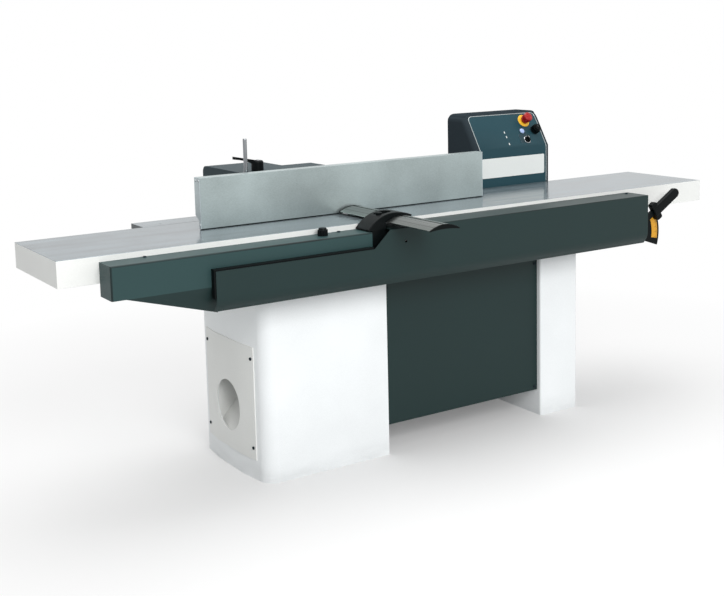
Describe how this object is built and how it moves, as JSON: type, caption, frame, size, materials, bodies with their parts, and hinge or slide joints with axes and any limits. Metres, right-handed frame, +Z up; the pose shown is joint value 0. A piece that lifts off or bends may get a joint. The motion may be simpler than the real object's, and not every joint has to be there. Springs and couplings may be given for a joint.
{
  "type": "surface planer",
  "caption": "Floor-standing surface planer with long tables, cutterhead, tilting fence, bridge guard, control box and a sheet-steel base with a dust port.",
  "frame": {"origin": "on the floor, under the middle of the machine's outline", "axes": "+X along the tables towards the infeed end, +Y away from the operator, +Z up"},
  "size_m": [2.75, 1.035, 1.168],
  "materials": {
    "white_paint": "satin",
    "dark_paint": "satin",
    "bed_paint": "satin",
    "ground_iron": "ground",
    "saddle_iron": "painted",
    "bright_steel": "bright",
    "pulley_iron": "turned",
    "belt_rubber": "matte",
    "motor_paint": "painted",
    "motor_cover": "satin",
    "aluminium": "anodised",
    "chrome": "polished",
    "black_plastic": "moulded",
    "black_paint": "satin",
    "white_plate": "matte",
    "yellow": "matte",
    "red": "gloss",
    "pale_button": "gloss"
  },
  "bodies": {
    "machine": {"left_cabinet": "white_paint", "nose_cover": "white_paint", "right_leg": "white_paint", "centre_panel": "dark_paint", "rear_panel": "dark_paint", "outfeed_front_cover": "dark_paint", "main_front_cover": "dark_paint", "control_panel": "dark_paint", "belt_cover": "dark_paint", "bed_frame": "bed_paint", "cover_brackets": "bed_paint", "motor_plate": "bed_paint", "bearing_housings": "bed_paint", "guard_guide": "bed_paint", "dust_chute": "bed_paint", "outfeed_table": "ground_iron", "rear_fence_plate": "ground_iron", "head_bearings": "bright_steel", "fence_rail": "bright_steel", "cover_screws": "bright_steel", "switch_plate": "bright_steel", "drive_belt": "belt_rubber", "motor_body": "motor_paint", "motor_terminal_box": "motor_paint", "motor_fan_cover": "motor_cover", "control_housing": "black_paint", "scale_quadrant": "black_paint", "bare_plate": "white_plate", "depth_scale": "yellow", "stop_collar": "yellow"},
    "infeed": {"infeed_table": "ground_iron"},
    "far_eccentric": {"far_eccentric_shaft": "bright_steel", "depth_lever": "black_paint", "lever_grip": "black_plastic"},
    "near_eccentric": {"near_eccentric_shaft": "bright_steel"},
    "link": {"lift_link": "bright_steel"},
    "head": {"cutterhead": "bright_steel", "knives": "bright_steel", "knife_wedges": "bright_steel", "head_pulley": "pulley_iron"},
    "rotor": {"motor_shaft": "bright_steel", "motor_pulley": "pulley_iron"},
    "carriage": {"fence_saddle": "saddle_iron", "fence_hood": "dark_paint", "tilt_pin": "bright_steel"},
    "fence": {"fence_profile": "aluminium", "fence_end_caps": "aluminium", "fence_brackets": "aluminium", "rod_holder": "aluminium", "fence_rod": "chrome"},
    "lock": {"lock_lever": "black_plastic"},
    "guard_support": {"guard_arm": "black_plastic"},
    "blade": {"guard_blade": "aluminium", "blade_caps": "black_plastic"},
    "guard_tightener": {"guard_knob": "black_plastic"},
    "cover_clamp": {"cover_knob": "black_plastic"},
    "stop": {"stop_button": "red"},
    "push": {"push_button": "pale_button"},
    "selector": {"selector_knob": "black_plastic"},
    "rotary": {"rotary_switch": "black_plastic"}
  },
  "joints": [
    {"name": "infeed_height", "type": "slide", "parent": "machine", "child": "infeed", "axis": [0, 0, 1], "range_m": [-0.008, 0]},
    {"name": "depth_lever_turn", "type": "hinge", "parent": "machine", "child": "far_eccentric", "pos_m": [0.881, 0, 0.7], "axis": [0, 1, 0], "range_deg": [-0.1, 60.1]},
    {"name": "near_eccentric_turn", "type": "hinge", "parent": "machine", "child": "near_eccentric", "pos_m": [0.04, 0, 0.7], "axis": [0, 1, 0], "range_deg": [-0.1, 60.1]},
    {"name": "link_turn", "type": "hinge", "parent": "far_eccentric", "child": "link", "pos_m": [0.861, 0, 0.73464], "axis": [0, 1, 0], "range_deg": [-60.1, 0.1]},
    {"name": "cutterhead_spin", "type": "hinge", "parent": "machine", "child": "head", "pos_m": [-0.207, 0, 0.81], "axis": [0, 1, 0], "continuous": true},
    {"name": "motor_spin", "type": "hinge", "parent": "machine", "child": "rotor", "pos_m": [0.15, 0, 0.43], "axis": [0, 1, 0], "continuous": true},
    {"name": "fence_slide", "type": "slide", "parent": "machine", "child": "carriage", "axis": [0, 1, 0], "range_m": [0, 0.15]},
    {"name": "fence_tilt", "type": "hinge", "parent": "carriage", "child": "fence", "pos_m": [-0.44, 0.074, 0.888], "axis": [-1, 0, 0], "range_deg": [0, 45]},
    {"name": "lock_turn", "type": "hinge", "parent": "carriage", "child": "lock", "pos_m": [-0.493, 0.2245, 1.03], "axis": [0, 0, 1], "range_deg": [-90, 0]},
    {"name": "guard_rise", "type": "slide", "parent": "machine", "child": "guard_support", "axis": [0, 0, 1], "range_m": [0, 0.075]},
    {"name": "guard_reach", "type": "slide", "parent": "guard_support", "child": "blade", "axis": [0, 1, 0], "range_m": [-0.2, 0]},
    {"name": "guard_knob_turn", "type": "hinge", "parent": "guard_support", "child": "guard_tightener", "pos_m": [-0.272, -0.224, 0.899], "axis": [0, 0, 1], "range_deg": [-180, 180]},
    {"name": "cover_knob_turn", "type": "hinge", "parent": "machine", "child": "cover_clamp", "pos_m": [-0.49, -0.216, 0.851], "axis": [0, 0, 1], "range_deg": [-180, 180]},
    {"name": "stop_press", "type": "slide", "parent": "machine", "child": "stop", "axis": [0, 0.849, -0.5284], "range_m": [0, 0.004], "stiffness_N_per_m": 1500},
    {"name": "push_press", "type": "slide", "parent": "machine", "child": "push", "axis": [0, 0.849, -0.5284], "range_m": [0, 0.003], "stiffness_N_per_m": 800},
    {"name": "selector_turn", "type": "hinge", "parent": "machine", "child": "selector", "pos_m": [0.862, 0.27707, 1.08698], "axis": [0, -0.849, 0.5284], "range_deg": [-135, 135]},
    {"name": "rotary_turn", "type": "hinge", "parent": "machine", "child": "rotary", "pos_m": [0.803, 0.25488, 1.05132], "axis": [0, -0.849, 0.5284], "range_deg": [-90, 0]}
  ],
  "couplings": [
    {"joint": "depth_lever_turn", "follows": "infeed_height", "rad_per_m": -130.9},
    {"joint": "near_eccentric_turn", "follows": "infeed_height", "rad_per_m": -130.9},
    {"joint": "link_turn", "follows": "infeed_height", "rad_per_m": 130.9},
    {"joint": "motor_spin", "follows": "cutterhead_spin", "ratio": 0.6}
  ]
}
